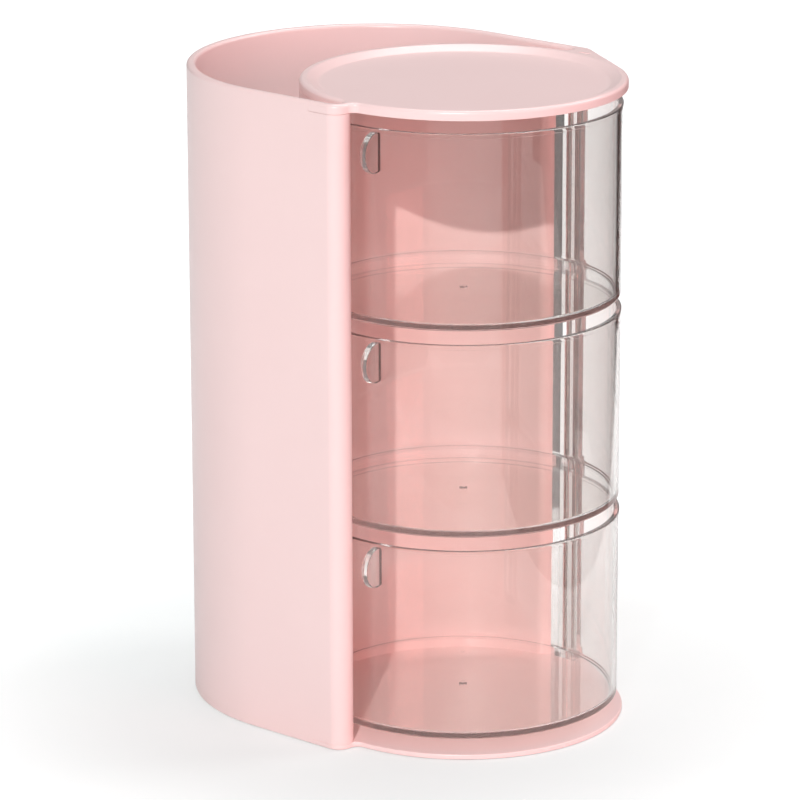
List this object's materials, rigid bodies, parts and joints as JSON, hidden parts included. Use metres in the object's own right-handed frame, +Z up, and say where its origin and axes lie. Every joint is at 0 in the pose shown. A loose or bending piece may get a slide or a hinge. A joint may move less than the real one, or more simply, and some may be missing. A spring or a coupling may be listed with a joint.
{
  "type": "hair accessory organizer",
  "caption": "Upright vanity organizer: an open rear compartment, a shallow top tray and clear round drawers that swing out on one pin.",
  "frame": {"origin": "on the standing plane under the pads, under the middle of the outline", "axes": "+Z up, +X towards the hinge side (right, seen from the front), -Y towards the front, where the drawers are"},
  "size_m": [0.128, 0.1606, 0.225],
  "materials": {
    "stand_plastic": "satin moulded plastic, pale pink",
    "clear_plastic": "clear, polished",
    "pin_steel": "drawn steel",
    "screw_steel": "plated steel",
    "pad_rubber": "soft, translucent grey"
  },
  "bodies": {
    "stand": {"housing_shell": "stand_plastic", "base_plate": "stand_plastic", "top_tray": "stand_plastic", "hinge_pin": "pin_steel", "base_screws": "screw_steel", "front_left_pad": "pad_rubber", "front_right_pad": "pad_rubber", "rear_left_pad": "pad_rubber", "rear_right_pad": "pad_rubber"},
    "upper": {"upper_drawer": "clear_plastic"},
    "middle": {"middle_drawer": "clear_plastic"},
    "lower": {"lower_drawer": "clear_plastic"}
  },
  "joints": [
    {"name": "upper_swing", "type": "hinge", "parent": "stand", "child": "upper", "pos_m": [0.0593, -0.0263, 0], "axis": [0, 0, 1], "range_deg": [0, 175]},
    {"name": "middle_swing", "type": "hinge", "parent": "stand", "child": "middle", "pos_m": [0.0593, -0.0263, 0], "axis": [0, 0, 1], "range_deg": [0, 175]},
    {"name": "lower_swing", "type": "hinge", "parent": "stand", "child": "lower", "pos_m": [0.0593, -0.0263, 0], "axis": [0, 0, 1], "range_deg": [0, 175]}
  ]
}
